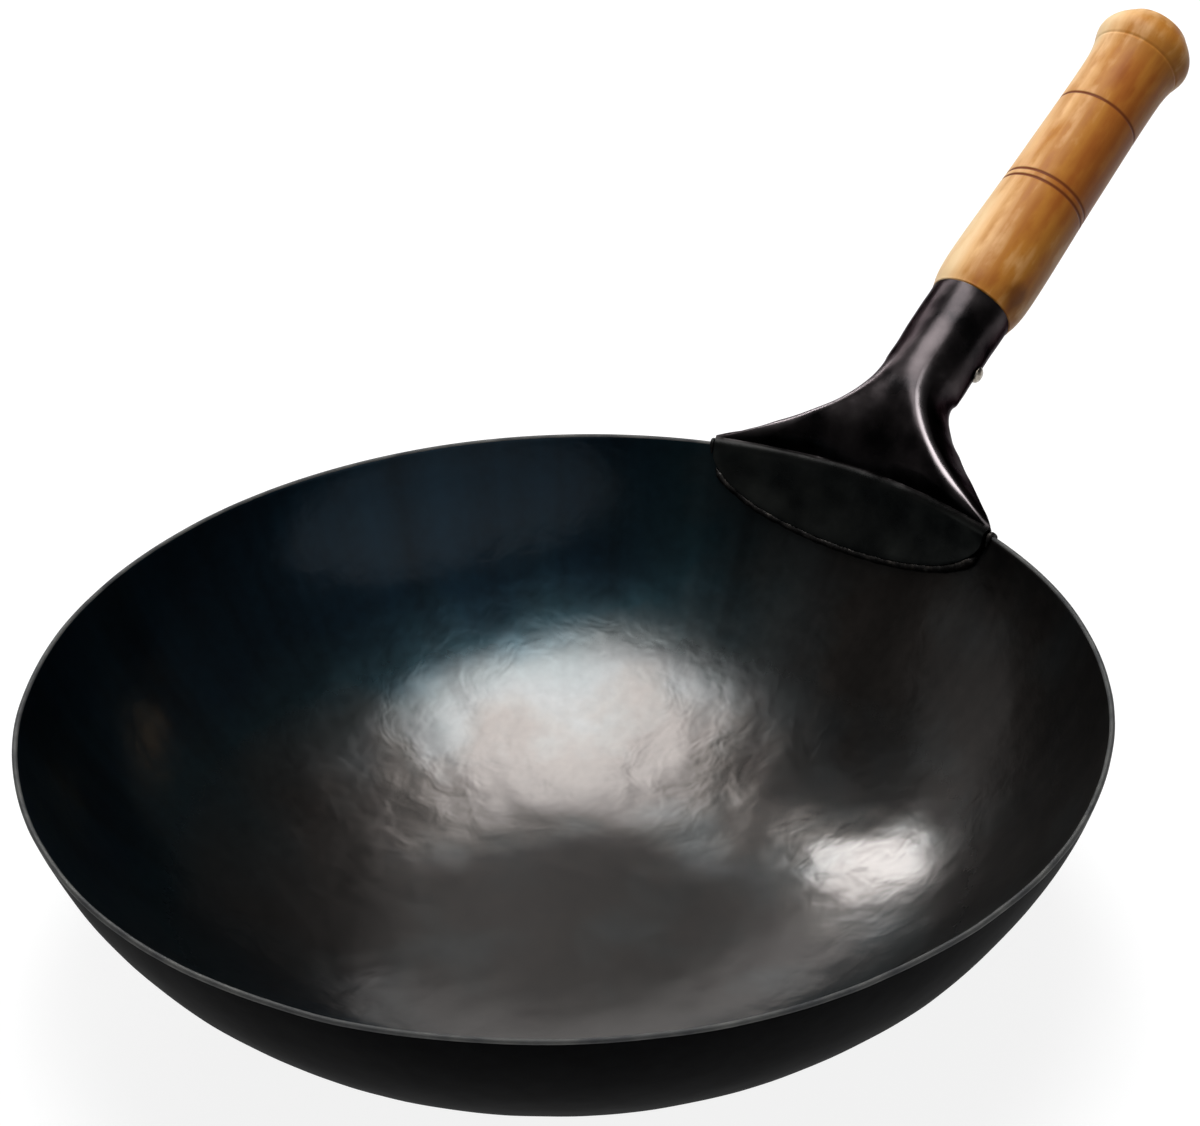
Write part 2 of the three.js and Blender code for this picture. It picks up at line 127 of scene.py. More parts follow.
tree.links.new(gloss.outputs[0], shader.inputs["Roughness"])
crinkle_share = add(tree, "ShaderNodeMapRange", {
    "Value": split.outputs["Z"], 1: 2.6 * MM, 2: 7 * MM, 3: 0.25, 4: 1.0})
crinkle_height = add(tree, "ShaderNodeMath", {0: crinkle, 1: crinkle_share}, operation="MULTIPLY")
crinkled = add(tree, "ShaderNodeBump", {"Distance": 0.15 * MM, "Height": crinkle_height})
gritty = add(tree, "ShaderNodeBump", {"Distance": 0.01 * MM, "Height": grit, "Normal": crinkled})
tree.links.new(gritty.outputs[0], shader.inputs["Normal"])
tree.links.new(gritty.outputs[0], shader.inputs["Coat Normal"])
oil = add(tree, "ShaderNodeMapRange", {
    "Value": split.outputs["Z"], 1: 40 * MM, 2: 75 * MM, 3: 0.85, 4: 0.4})
tree.links.new(oil.outputs[0], shader.inputs["Coat Weight"])
shader.inputs["Metallic"].default_value = 1.0
shader.inputs["Coat Roughness"].default_value = 0.19

# Blackened iron: the outside of the bowl keeps its matt forge scale and hardly shines. Its
# near-black colour is partly the scale's own and partly painted shade.
shaded_black_iron, tree, shader, place = finish_named("blackened_iron_painted_shade")
scale = add(tree, "ShaderNodeTexNoise", {"Vector": place, "Scale": 1 / (6 * MM), "Detail": 6.0})
# Painted shade: the scale's colour is set darker than it is, so the outside reads nearly black.
tint = add(tree, "ShaderNodeValToRGB", {0: scale}, stops=[(0.3, "#060607"), (0.7, "#0e0f10")])
tree.links.new(tint.outputs[0], shader.inputs["Base Color"])
scaled = add(tree, "ShaderNodeBump", {"Distance": 0.06 * MM, "Height": scale})
tree.links.new(scaled.outputs[0], shader.inputs["Normal"])
shader.inputs["Roughness"].default_value = 0.55
shader.inputs["Specular IOR Level"].default_value = 0.008

# Filed edge: the rim's cut edge, rubbed brighter than the walls.
filed_edge, tree, shader, place = finish_named("filed_iron_edge")
brightened = add(tree, "ShaderNodeTexNoise", {"Vector": place, "Scale": 1 / (9 * MM), "Detail": 4.0})
tint = add(tree, "ShaderNodeValToRGB", {0: brightened}, stops=[(0.3, "#4a4b4d"), (0.7, "#6c6c6a")])
tree.links.new(tint.outputs[0], shader.inputs["Base Color"])
shader.inputs["Metallic"].default_value = 1.0
shader.inputs["Roughness"].default_value = 0.75

# The bowl's middle layer, by rule: a flat base, then one arc, with shallow hammer dents and a rim
# that wanders a little by hand, but not where the socket is fixed.
bowl_tree = bpy.data.node_groups.new("hammered_bowl", "GeometryNodeTree")
for name, kind in (
    ("Geometry", "Geometry"), ("Base Radius", "Float"), ("Wall Arc", "Float"),
    ("Rim Tilt", "Float"), ("Base Softness", "Float"), ("Wall", "Float"), ("Turns", "Int"),
    ("Rings", "Int"), ("Dent Width", "Float"), ("Dent Depth", "Float"), ("Rim Wander", "Float"),
    ("Seed", "Float"), ("Material", "Material"),
):
    bowl_tree.interface.new_socket(name, in_out="INPUT", socket_type="NodeSocket" + kind)
bowl_tree.interface.new_socket("Geometry", in_out="OUTPUT", socket_type="NodeSocketGeometry")
given = add(bowl_tree, "NodeGroupInput").outputs
grid = add(bowl_tree, "GeometryNodeMeshGrid", {
    "Size X": 1.0, "Size Y": 1.0, "Vertices X": given["Turns"], "Vertices Y": given["Rings"]})
cell = add(bowl_tree, "ShaderNodeSeparateXYZ", {0: add(bowl_tree, "GeometryNodeInputPosition")})
turn = add(bowl_tree, "ShaderNodeMath", {
    0: cell.outputs["X"], 1: 2 * math.pi}, operation="MULTIPLY")
share = add(bowl_tree, "ShaderNodeMath", {0: cell.outputs["Y"], 1: 0.5}, operation="ADD")
arc = add(bowl_tree, "ShaderNodeMath", {
    0: given["Wall"], 1: -0.5, 2: given["Wall Arc"]}, operation="MULTIPLY_ADD")
run = add(bowl_tree, "ShaderNodeMath", {
    0: arc, 1: given["Rim Tilt"], 2: given["Base Radius"]}, operation="MULTIPLY_ADD")
along = add(bowl_tree, "ShaderNodeMath", {0: share, 1: run}, operation="MULTIPLY")
past_base = add(bowl_tree, "ShaderNodeMath", {
    0: along, 1: given["Base Radius"]}, operation="SUBTRACT")
softened = add(bowl_tree, "ShaderNodeMath", {
    0: past_base, 1: given["Base Softness"]}, operation="DIVIDE")
swelling = add(bowl_tree, "ShaderNodeMath", {0: softened}, operation="EXPONENT")
swelling_more = add(bowl_tree, "ShaderNodeMath", {0: swelling, 1: 1.0}, operation="ADD")
soft_ramp = add(bowl_tree, "ShaderNodeMath", {0: swelling_more, 1: math.e}, operation="LOGARITHM")
on_wall = add(bowl_tree, "ShaderNodeMath", {
    0: soft_ramp, 1: given["Base Softness"]}, operation="MULTIPLY")
on_base = add(bowl_tree, "ShaderNodeMath", {0: along, 1: on_wall}, operation="SUBTRACT")
tilt = add(bowl_tree, "ShaderNodeMath", {0: on_wall, 1: arc}, operation="DIVIDE")
tilt_sine = add(bowl_tree, "ShaderNodeMath", {0: tilt}, operation="SINE")
tilt_cosine = add(bowl_tree, "ShaderNodeMath", {0: tilt}, operation="COSINE")
radius = add(bowl_tree, "ShaderNodeMath", {
    0: tilt_sine, 1: arc, 2: on_base}, operation="MULTIPLY_ADD")
drop = add(bowl_tree, "ShaderNodeMath", {0: tilt_cosine, 1: arc}, operation="MULTIPLY")
height = add(bowl_tree, "ShaderNodeMath", {0: given["Wall Arc"], 1: drop}, operation="SUBTRACT")
around = add(bowl_tree, "ShaderNodeCombineXYZ", {
    0: add(bowl_tree, "ShaderNodeMath", {0: turn}, operation="COSINE"),
    1: add(bowl_tree, "ShaderNodeMath", {0: turn}, operation="SINE")})
level = add(bowl_tree, "ShaderNodeVectorMath", {0: around, "Scale": radius}, operation="SCALE")
lift = add(bowl_tree, "ShaderNodeCombineXYZ", {2: height})
spot = add(bowl_tree, "ShaderNodeVectorMath", {0: level, 1: lift}, operation="ADD")
lean = add(bowl_tree, "ShaderNodeVectorMath", {0: around, "Scale": tilt_sine}, operation="SCALE")
sink = add(bowl_tree, "ShaderNodeCombineXYZ", {2: tilt_cosine})
outward = add(bowl_tree, "ShaderNodeVectorMath", {0: lean, 1: sink}, operation="SUBTRACT")
dent_scale = add(bowl_tree, "ShaderNodeMath", {0: 1.0, 1: given["Dent Width"]}, operation="DIVIDE")
dents = add(bowl_tree, "ShaderNodeTexVoronoi", {
    "Vector": spot, "W": given["Seed"], "Scale": dent_scale, "Detail": 1.0, "Roughness": 0.35,
    "Lacunarity": 2.6, "Smoothness": 0.5}, voronoi_dimensions="4D", feature="SMOOTH_F1")
dent = add(bowl_tree, "ShaderNodeMath", {0: dents, 1: given["Dent Depth"]}, operation="MULTIPLY")
middle_fade = add(bowl_tree, "ShaderNodeMapRange", {
    "Value": along, 1: 15 * MM, 2: 80 * MM, 3: 0.0, 4: -1.0})
dented = add(bowl_tree, "ShaderNodeMath", {0: dent, 1: middle_fade}, operation="MULTIPLY")
wander = add(bowl_tree, "ShaderNodeTexNoise", {
    "Vector": around, "W": given["Seed"], "Scale": 1.3, "Detail": 1.0}, noise_dimensions="4D")
either_way = add(bowl_tree, "ShaderNodeMath", {0: wander, 1: 0.5}, operation="SUBTRACT")
from_handle = add(bowl_tree, "ShaderNodeMath", {0: turn}, operation="ABSOLUTE")
clear_of_socket = add(bowl_tree, "ShaderNodeMapRange", {
    "Value": from_handle, 1: 0.4, 2: 0.9}, interpolation_type="SMOOTHSTEP")
near_rim = add(bowl_tree, "ShaderNodeMath", {0: share, 1: 4.0}, operation="POWER")
wandering = add(bowl_tree, "ShaderNodeMath", {
    0: either_way, 1: given["Rim Wander"]}, operation="MULTIPLY")
at_rim = add(bowl_tree, "ShaderNodeMath", {0: wandering, 1: near_rim}, operation="MULTIPLY")
below_socket = add(bowl_tree, "ShaderNodeMapRange", {"Value": share, 1: 0.86, 2: 0.74})
off_socket = add(bowl_tree, "ShaderNodeMath", {
    0: clear_of_socket, 1: below_socket}, operation="MAXIMUM")
dented_off = add(bowl_tree, "ShaderNodeMath", {0: dented, 1: off_socket}, operation="MULTIPLY")
bent = add(bowl_tree, "ShaderNodeMath", {
    0: at_rim, 1: clear_of_socket, 2: dented_off}, operation="MULTIPLY_ADD")
push = add(bowl_tree, "ShaderNodeVectorMath", {0: outward, "Scale": bent}, operation="SCALE")
shaped = add(bowl_tree, "GeometryNodeSetPosition", {
    "Geometry": grid, "Position": spot, "Offset": push})
joined = add(bowl_tree, "GeometryNodeMergeByDistance", {"Geometry": shaped, "Distance": 0.02 * MM})
smooth = add(bowl_tree, "GeometryNodeSetShadeSmooth", {"Geometry": joined})
real = add(bowl_tree, "GeometryNodeRealizeInstances", {"Geometry": smooth})
coated = add(bowl_tree, "GeometryNodeSetMaterial", {
    "Geometry": real, "Material": given["Material"]})
add(bowl_tree, "NodeGroupOutput", {0: coated})


def grown(name, tree, start, sizes):
    """Runs a node tree on a start mesh and keeps the result as a plain mesh object."""
    maker = bpy.data.objects.new(name + "_maker", start)
    scene.collection.objects.link(maker)
    modifier = maker.modifiers.new("shape", "NODES")
    modifier.node_group = tree
    for socket in tree.interface.items_tree:
        if socket.in_out == "INPUT" and socket.name in sizes:
            modifier[socket.identifier] = sizes[socket.name]
    depsgraph = bpy.context.evaluated_depsgraph_get()
    mesh = bpy.data.meshes.new_from_object(maker.evaluated_get(depsgraph))
    bpy.data.objects.remove(maker)
    piece = bpy.data.objects.new(name, mesh)
    scene.collection.objects.link(piece)
    return piece


def walled(piece, wall, rounding, materials):
    """Gives a sheet its thickness about its middle layer and rounds its cut edges."""
    piece.data.materials.clear()
    for material in materials:
        piece.data.materials.append(material)
    solid = piece.modifiers.new("wall", "SOLIDIFY")
    solid.thickness = wall
    solid.offset = 0
    solid.use_even_offset = True
    solid.material_offset = 1
    solid.material_offset_rim = 2
    edge = piece.modifiers.new("edge", "BEVEL")
    edge.width = rounding
    edge.segments = 3
    edge.limit_method = "ANGLE"
    edge.angle_limit = math.radians(60)
    edge.material = 2
    depsgraph = bpy.context.evaluated_depsgraph_get()
    mesh = bpy.data.meshes.new_from_object(piece.evaluated_get(depsgraph))
    piece.modifiers.clear()
    piece.data = mesh
    for face in mesh.polygons:
        face.use_smooth = True


bowl = grown("bowl", bowl_tree, bpy.data.meshes.new("bowl_start"), {
    "Base Radius": BASE_RADIUS, "Wall Arc": WALL_ARC,
    "Rim Tilt": RIM_TILT + BOWL_WALL / 2 / WALL_ARC,
    "Base Softness": 22 * MM, "Wall": BOWL_WALL, "Turns": 321, "Rings": 116,
    "Dent Width": 34 * MM, "Dent Depth": 0.6 * MM,
    "Rim Wander": 3.2 * MM, "Seed": 3.0, "Material": shaded_black_iron})
walled(bowl, BOWL_WALL, RIM_ROUNDING, [shaded_black_iron, blued_iron, filed_edge])
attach(bowl, "root")
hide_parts("wok_bowl")

# Handle socket. One fan-shaped plate of sheet iron: a tongue that laps inside the bowl, a fold over
# the rim, a face with two creases, and a narrow end rolled into a tube with an open seam beneath.
SHEET = 2 * MM
FIT_GAP = 0.3 * MM
FAN_HALF_ANGLE = math.radians(19.2)
CREASE_ANGLE = math.radians(18.2)
TONGUE_DEPTH = 24.5 * MM
TONGUE_END_DEPTH = 4 * MM
FOLD_OVERHANG = 1.5 * MM
FOLD_END = 110  # degrees, as are the seam and shoulder angles
FACE_ELBOW = 24.5 * MM
EDGE_ELBOW = 1 * MM
CREASE_REACH = 3 * MM
HANDLE_RISE = math.radians(26)
TUBE_LENGTH = 34 * MM
MOUTH_DIAMETER = 30.4 * MM
NECK_DIAMETER = 29.2 * MM
SEAM_GAP = 1.2 * MM
SHOULDER_ANGLE = 28
STRAIGHT_HANDLE = 1 / 3
ROLLED_HANDLE = 0.53
MOUTH = Vector((RIM_RADIUS + 65 * MM, 0, BOWL_DEPTH + 37.2 * MM))
AXIS = Vector((math.cos(HANDLE_RISE), 0, math.sin(HANDLE_RISE)))
SECTION_UP = Vector((-AXIS.z, 0, AXIS.x))
SEAM_ANGLE = 180 - math.degrees(SEAM_GAP / (NECK_DIAMETER - SHEET))
HAMMER_MARK = 8 * MM
HAMMER_DEPTH = 0.35 * MM
EDGE_ROUNDING = 0.5 * MM
FACE_COLUMNS = 14
FLANK_COLUMNS = 22
BRIGHTENED_COLUMNS = 3
TONGUE_ROWS = 12
FOLD_ROWS = 6
FAN_ROWS = 44
TUBE_ROWS = 14


def wall_point(tilt, inset):
    """Point of the bowl's wall as (radius, height), some way in from its outer face."""
    radius = WALL_ARC - inset
    return Vector((BASE_RADIUS + radius * math.sin(tilt), WALL_ARC - radius * math.cos(tilt)))


def around_bowl(profile_point, angle):
    radius, height = profile_point
    return Vector((radius * math.cos(angle), radius * math.sin(angle), height))


def spoke(degrees):
    """Direction across the handle, at an angle from the top of the tube."""
    turn = math.radians(degrees)
    return SECTION_UP * math.cos(turn) + Vector((0, math.sin(turn), 0))


def tube_radius(down):
    return (MOUTH_DIAMETER + (NECK_DIAMETER - MOUTH_DIAMETER) * down / TUBE_LENGTH) / 2


def tube_point(down, degrees):
    return MOUTH - AXIS * down + spoke(degrees) * (tube_radius(down) - SHEET / 2)


RIM_CENTRE = wall_point(RIM_TILT, BOWL_WALL / 2)
FOLD_RADIUS = BOWL_WALL / 2 + FIT_GAP + SHEET / 2
FOLD_START = 90 + math.degrees(RIM_TILT)


def fold_point(degrees, overhang):
    """Point of the plate's middle layer as it turns over the rim."""
    turn = math.radians(degrees)
    out = Vector((math.cos(turn), math.sin(turn)))
    return RIM_CENTRE + out * FOLD_RADIUS + Vector((out.y, -out.x)) * overhang


def tongue_point(angle, share, inset):
    """Point of the tongue, whose lower edge is half an ellipse cut off at its ends."""
    across = angle / FAN_HALF_ANGLE * math.sqrt(1 - (TONGUE_END_DEPTH / TONGUE_DEPTH) ** 2)
    depth = share * TONGUE_DEPTH * math.sqrt(1 - across ** 2)
    return around_bowl(wall_point(RIM_TILT - depth / (WALL_ARC - BOWL_WALL), inset), angle)


def bezier(points, t):
    while len(points) > 1:
        points = [a.lerp(b, t) for a, b in zip(points, points[1:])]
    return points[0]


def mix(a, b, share):
    return a + (b - a) * share


def fan_half_section(t):
    """Half a section of the fan from the rim (0) to the tube (1): a face, a crease and a flank."""
    rim_edge = fold_point(FOLD_END, FOLD_OVERHANG)
    rounded = t * t * (3 - 2 * t)
    creased = math.sin(math.pi * t)

    def rail(rim_angle, tube_angle, elbow):
        end = tube_point(TUBE_LENGTH, tube_angle)
        return bezier([around_bowl(rim_edge, rim_angle), end - AXIS * elbow, end], t)

    top = rail(0, 0, FACE_ELBOW)
    crease = rail(CREASE_ANGLE, SHOULDER_ANGLE, FACE_ELBOW)
    edge = rail(FAN_HALF_ANGLE, SEAM_ANGLE, EDGE_ELBOW)
    flank_run = (edge - crease).normalized()
    bend = ((crease - top).normalized() + flank_run).normalized()
    rim_run = Vector((-math.sin(CREASE_ANGLE), math.cos(CREASE_ANGLE), 0))
    off_rim = bend.lerp(rim_run, 1 - creased)
    at_crease = off_rim.lerp(spoke(SHOULDER_ANGLE + 90), rounded).normalized()
    at_edge = flank_run.lerp(spoke(SEAM_ANGLE + 90), rounded).normalized()
    face_handle = (crease - top).length * STRAIGHT_HANDLE
    flank_handle = (edge - crease).length * mix(STRAIGHT_HANDLE, ROLLED_HANDLE, rounded)
    before = mix(face_handle, min(CREASE_REACH, face_handle), creased)
    after = mix(flank_handle, min(CREASE_REACH, flank_handle), creased)
    face = [top, top + Vector((0, face_handle, 0)), crease - at_crease * before, crease]
    flank = [crease, crease + at_crease * after, edge - at_edge * flank_handle, edge]
    return ([bezier(face, k / FACE_COLUMNS) for k in range(FACE_COLUMNS + 1)]
            + [bezier(flank, k / FLANK_COLUMNS) for k in range(1, FLANK_COLUMNS + 1)])


column_angles = [CREASE_ANGLE * k / FACE_COLUMNS for k in range(FACE_COLUMNS + 1)]
column_angles += [
    mix(CREASE_ANGLE, FAN_HALF_ANGLE, k / FLANK_COLUMNS) for k in range(1, FLANK_COLUMNS + 1)]
tongue_inset = BOWL_WALL + FIT_GAP + SHEET / 2
half_rows = [
    [tongue_point(a, 1 - k / TONGUE_ROWS, tongue_inset) for a in column_angles]
    for k in range(TONGUE_ROWS)]
for k in range(FOLD_ROWS + 1):
    fold = fold_point(mix(FOLD_START, FOLD_END, k / FOLD_ROWS), 0)
    half_rows.append([around_bowl(fold, a) for a in column_angles])
half_rows += [fan_half_section(k / FAN_ROWS) for k in range(FAN_ROWS + 1)]
neck = half_rows[-1]
neck_centre = MOUTH - AXIS * TUBE_LENGTH
for k in range(1, TUBE_ROWS + 1):
    down = TUBE_LENGTH * (1 - k / TUBE_ROWS)
    growth = (tube_radius(down) - SHEET / 2) / (tube_radius(TUBE_LENGTH) - SHEET / 2)
    half_rows.append([MOUTH - AXIS * down + (p - neck_centre) * growth for p in neck])
rows = [[Vector((p.x, -p.y, p.z)) for p in reversed(half[1:])] + half for half in half_rows]


def gridded(name, rows):
    """A mesh object over rows of points."""
    wide = len(rows[0])
    faces = [(i * wide + j, (i + 1) * wide + j, (i + 1) * wide + j + 1, i * wide + j + 1)
             for i in range(len(rows) - 1) for j in range(wide - 1)]
    mesh = bpy.data.meshes.new(name)
    mesh.from_pydata([p for row in rows for p in row], [], faces)
    piece = bpy.data.objects.new(name, mesh)
    scene.collection.objects.link(piece)
    return piece


# Blackened sheet iron: rolled and folded hot, with a thin purple-brown scale that takes a low
# sheen, a painted shade line along the fold over the rim, oily inside the bowl, and lighter along
# the creases, partly rubbed wear and partly a painted highlight. The grit is drawn coarser than it
# is, so that it shows.
sheet_iron, tree, shader, place = finish_named("blackened_sheet_iron")
patches = add(tree, "ShaderNodeTexNoise", {"Vector": place, "Scale": 1 / (14 * MM), "Detail": 5.0})
tint = add(tree, "ShaderNodeValToRGB", {0: patches}, stops=[
    (0.3, "#212021"), (0.5, "#343031"), (0.72, "#454041")])
flattened = add(tree, "ShaderNodeVectorMath", {0: place, 1: (1, 1, 0)}, operation="MULTIPLY")
from_axis = add(tree, "ShaderNodeVectorMath", {0: flattened}, operation="LENGTH")
oiled = add(tree, "ShaderNodeMapRange", {
    "Value": from_axis.outputs["Value"], 1: RIM_RADIUS - 1 * MM, 2: RIM_RADIUS - 4 * MM})
oily = add(tree, "ShaderNodeValToRGB", {0: patches}, stops=[(0.3, "#393c3c"), (0.7, "#565956")])
oil_tint = add(tree, "ShaderNodeMix", {
    0: oiled.outputs[0], 6: tint.outputs[0], 7: oily.outputs[0]}, data_type="RGBA")
# Painted shade: a dark line along the fold over the rim, where shade falls in the crease; it also
# dims the fold's highlight.
crease_place = add(tree, "ShaderNodeMath", {
    0: patches, 1: 2.5 * MM, 2: from_axis.outputs["Value"]}, operation="MULTIPLY_ADD")
crease_offset = add(tree, "ShaderNodeMath", {
    0: crease_place, 1: RIM_RADIUS - 0.8 * MM}, operation="SUBTRACT")
crease_distance = add(tree, "ShaderNodeMath", {0: crease_offset}, operation="ABSOLUTE")
fold_painted_shade = add(tree, "ShaderNodeMapRange", {
    "Value": crease_distance, 1: 0.5 * MM, 2: 2 * MM, 3: 0.8, 4: 0.0})
fold_shaded = add(tree, "ShaderNodeMix", {
    0: fold_painted_shade.outputs[0], 6: oil_tint.outputs[2], 7: colour("#0c0b0b")}, data_type="RGBA")
# Lighter along the creases: partly rubbed wear, partly a painted highlight on the crease ridges.
crease_wear_highlight = add(tree, "ShaderNodeAttribute", attribute_name="crease_wear_highlight").outputs["Fac"]
brightened = add(tree, "ShaderNodeMix", {
    0: crease_wear_highlight, 6: fold_shaded.outputs[2], 7: colour("#8f888a")}, data_type="RGBA")
tree.links.new(brightened.outputs[2], shader.inputs["Base Color"])
sheet_grit = add(tree, "ShaderNodeTexNoise", {
    "Vector": place, "Scale": 1 / (2.5 * MM), "Detail": 4.0})
gloss = add(tree, "ShaderNodeMapRange", {"Value": patches, 1: 0.3, 2: 0.7, 3: 0.24, 4: 0.36})
tree.links.new(gloss.outputs[0], shader.inputs["Roughness"])
gritty = add(tree, "ShaderNodeBump", {"Distance": 0.05 * MM, "Height": sheet_grit})
tree.links.new(gritty.outputs[0], shader.inputs["Normal"])
shader.inputs["Metallic"].default_value = 1.0
shader.inputs["Specular Tint"].default_value = colour("#9a9698")

socket = gridded("handle_socket_plate", rows)
hammered = [
    v.co + v.normal * HAMMER_DEPTH * noise.noise(v.co / HAMMER_MARK) for v in socket.data.vertices]
for vertex, spot in zip(socket.data.vertices, hammered):
    vertex.co = spot
# Strength of the crease lightening, partly wear and partly a painted highlight, fading towards both
# ends of the fan.
brightening_layer = socket.data.attributes.new("crease_wear_highlight", "FLOAT", "POINT")
middle = FACE_COLUMNS + FLANK_COLUMNS
first_fan_row = TONGUE_ROWS + FOLD_ROWS + 1
for i in range(FAN_ROWS):
    for j in range(2 * middle + 1):
        from_crease = abs(abs(j - middle) - FACE_COLUMNS)
        brightening = max(0, 1 - from_crease / BRIGHTENED_COLUMNS) * math.sin(math.pi * i / FAN_ROWS)
        brightening_layer.data[(first_fan_row + i) * (2 * middle + 1) + j].value = brightening
walled(socket, SHEET, EDGE_ROUNDING, [sheet_iron, sheet_iron, sheet_iron])
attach(socket, "root")
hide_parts("handle_socket")

# Welds. Lumpy beads of weld metal, run into the sheets they join: one along the tongue's lower
# edge, one in the notch outside the rim, and one over the rim at each end of the plate. They hold
# the socket to the bowl.
BEAD_DIAMETER = 2.2 * MM
LAP_BEAD_DIAMETER = 1.3 * BEAD_DIAMETER
LAP_BEAD_REACH = 0.42 * BEAD_DIAMETER  # less than its radius, so it sinks into the corner
CORNER_BEAD_DIAMETER = 1.7 * MM
BEAD_STEPS = 96
SADDLE_STEP = 15  # degrees
LAP_BEAD_SHARE = 0.965
OUTSIDE_BEAD_SHARE = 0.78
CORNER_WELD_LEG = 3 * MM

# Weld metal: burnt, uneven and dull, with rust-brown and grey spots.
weld_metal, tree, shader, place = finish_named("burnt_weld_metal")
spots = add(tree, "ShaderNodeTexNoise", {"Vector": place, "Scale": 1 / (4 * MM), "Detail": 5.0})
tint = add(tree, "ShaderNodeValToRGB", {0: spots}, stops=[
    (0.35, "#1a1a1a"), (0.55, "#302e2d"), (0.75, "#5c5752")])
tree.links.new(tint.outputs[0], shader.inputs["Base Color"])
pitted = add(tree, "ShaderNodeBump", {"Distance": 0.08 * MM, "Height": spots})
tree.links.new(pitted.outputs[0], shader.inputs["Normal"])
shader.inputs["Metallic"].default_value = 0.85
shader.inputs["Roughness"].default_value = 0.5

bead_tree = bpy.data.node_groups.new("weld_bead", "GeometryNodeTree")
for name, kind in (
    ("Geometry", "Geometry"), ("Diameter", "Float"), ("Ripple Spacing", "Float"),
    ("Ripple Height", "Float"), ("Lump Height", "Float"), ("End Length", "Float"),
    ("Seed", "Float"), ("Material", "Material"),
):
    bead_tree.interface.new_socket(name, in_out="INPUT", socket_type="NodeSocket" + kind)
bead_tree.interface.new_socket("Geometry", in_out="OUTPUT", socket_type="NodeSocketGeometry")
given = add(bead_tree, "NodeGroupInput").outputs
path = add(bead_tree, "GeometryNodeMeshToCurve", {0: given["Geometry"]})
fine_path = add(bead_tree, "GeometryNodeResampleCurve", {
    "Curve": path, "Length": 0.35 * MM}, mode="LENGTH")
parameter = add(bead_tree, "GeometryNodeSplineParameter")
whole = add(bead_tree, "GeometryNodeSplineLength")
run_out = add(bead_tree, "ShaderNodeMath", {
    0: whole.outputs["Length"], 1: parameter.outputs["Length"]}, operation="SUBTRACT")
nearer_end = add(bead_tree, "ShaderNodeMath", {
    0: parameter.outputs["Length"], 1: run_out}, operation="MINIMUM")
end_swell = add(bead_tree, "ShaderNodeMapRange", {
    "Value": nearer_end, 1: 0.0, 2: given["End Length"], 3: 0.4, 4: 1.0},
    interpolation_type="SMOOTHSTEP")
phase = add(bead_tree, "ShaderNodeMath", {
    0: parameter.outputs["Length"], 1: given["Ripple Spacing"]}, operation="DIVIDE")
cycle = add(bead_tree, "ShaderNodeMath", {0: phase, 1: 2 * math.pi}, operation="MULTIPLY")
ripple = add(bead_tree, "ShaderNodeMath", {0: cycle}, operation="SINE")
ripple_share = add(bead_tree, "ShaderNodeMath", {
    0: given["Ripple Height"], 1: given["Diameter"]}, operation="DIVIDE")
rippled = add(bead_tree, "ShaderNodeMath", {
    0: ripple, 1: ripple_share, 2: end_swell}, operation="MULTIPLY_ADD")
section_radius = add(bead_tree, "ShaderNodeMath", {
    0: given["Diameter"], 1: 0.5}, operation="MULTIPLY")
section = add(bead_tree, "GeometryNodeCurvePrimitiveCircle", {
    "Resolution": 14, "Radius": section_radius})
bead_mesh = add(bead_tree, "GeometryNodeCurveToMesh", {
    "Curve": fine_path, "Profile Curve": section, "Scale": rippled, "Fill Caps": True})
lumps = add(bead_tree, "ShaderNodeTexNoise", {
    "W": given["Seed"], "Scale": 1 / (4.2 * MM)}, noise_dimensions="4D")
lump = add(bead_tree, "ShaderNodeMath", {0: lumps, 1: 0.5}, operation="SUBTRACT")
lump_push = add(bead_tree, "ShaderNodeMath", {
    0: lump, 1: given["Lump Height"]}, operation="MULTIPLY")
lumpy = add(bead_tree, "ShaderNodeVectorMath", {
    0: add(bead_tree, "GeometryNodeInputNormal"), "Scale": lump_push}, operation="SCALE")
bead_shape = add(bead_tree, "GeometryNodeSetPosition", {"Geometry": bead_mesh, "Offset": lumpy})
bead_joined = add(bead_tree, "GeometryNodeMergeByDistance", {
    "Geometry": bead_shape, "Distance": 0.005 * MM})
bead_smooth = add(bead_tree, "GeometryNodeSetShadeSmooth", {"Geometry": bead_joined})
bead_real = add(bead_tree, "GeometryNodeRealizeInstances", {"Geometry": bead_smooth})
bead_coated = add(bead_tree, "GeometryNodeSetMaterial", {
    "Geometry": bead_real, "Material": given["Material"]})
add(bead_tree, "NodeGroupOutput", {0: bead_coated})


def lap_bead_path():
    """Centre of the bead in the corner between the bowl's wall and the tongue's lower edge."""
    inset = BOWL_WALL + LAP_BEAD_REACH
    step = FAN_HALF_ANGLE * LAP_BEAD_SHARE / BEAD_STEPS
    points = []
    for k in range(-BEAD_STEPS, BEAD_STEPS + 1):
        spot = tongue_point(k * step, 1, inset)
        run = tongue_point((k + 0.5) * step, 1, inset) - tongue_point((k - 0.5) * step, 1, inset)
        inward = tongue_point(k * step, 1, inset + 1 * MM) - spot
        points.append(spot + inward.cross(run).normalized() * LAP_BEAD_REACH)
    return points


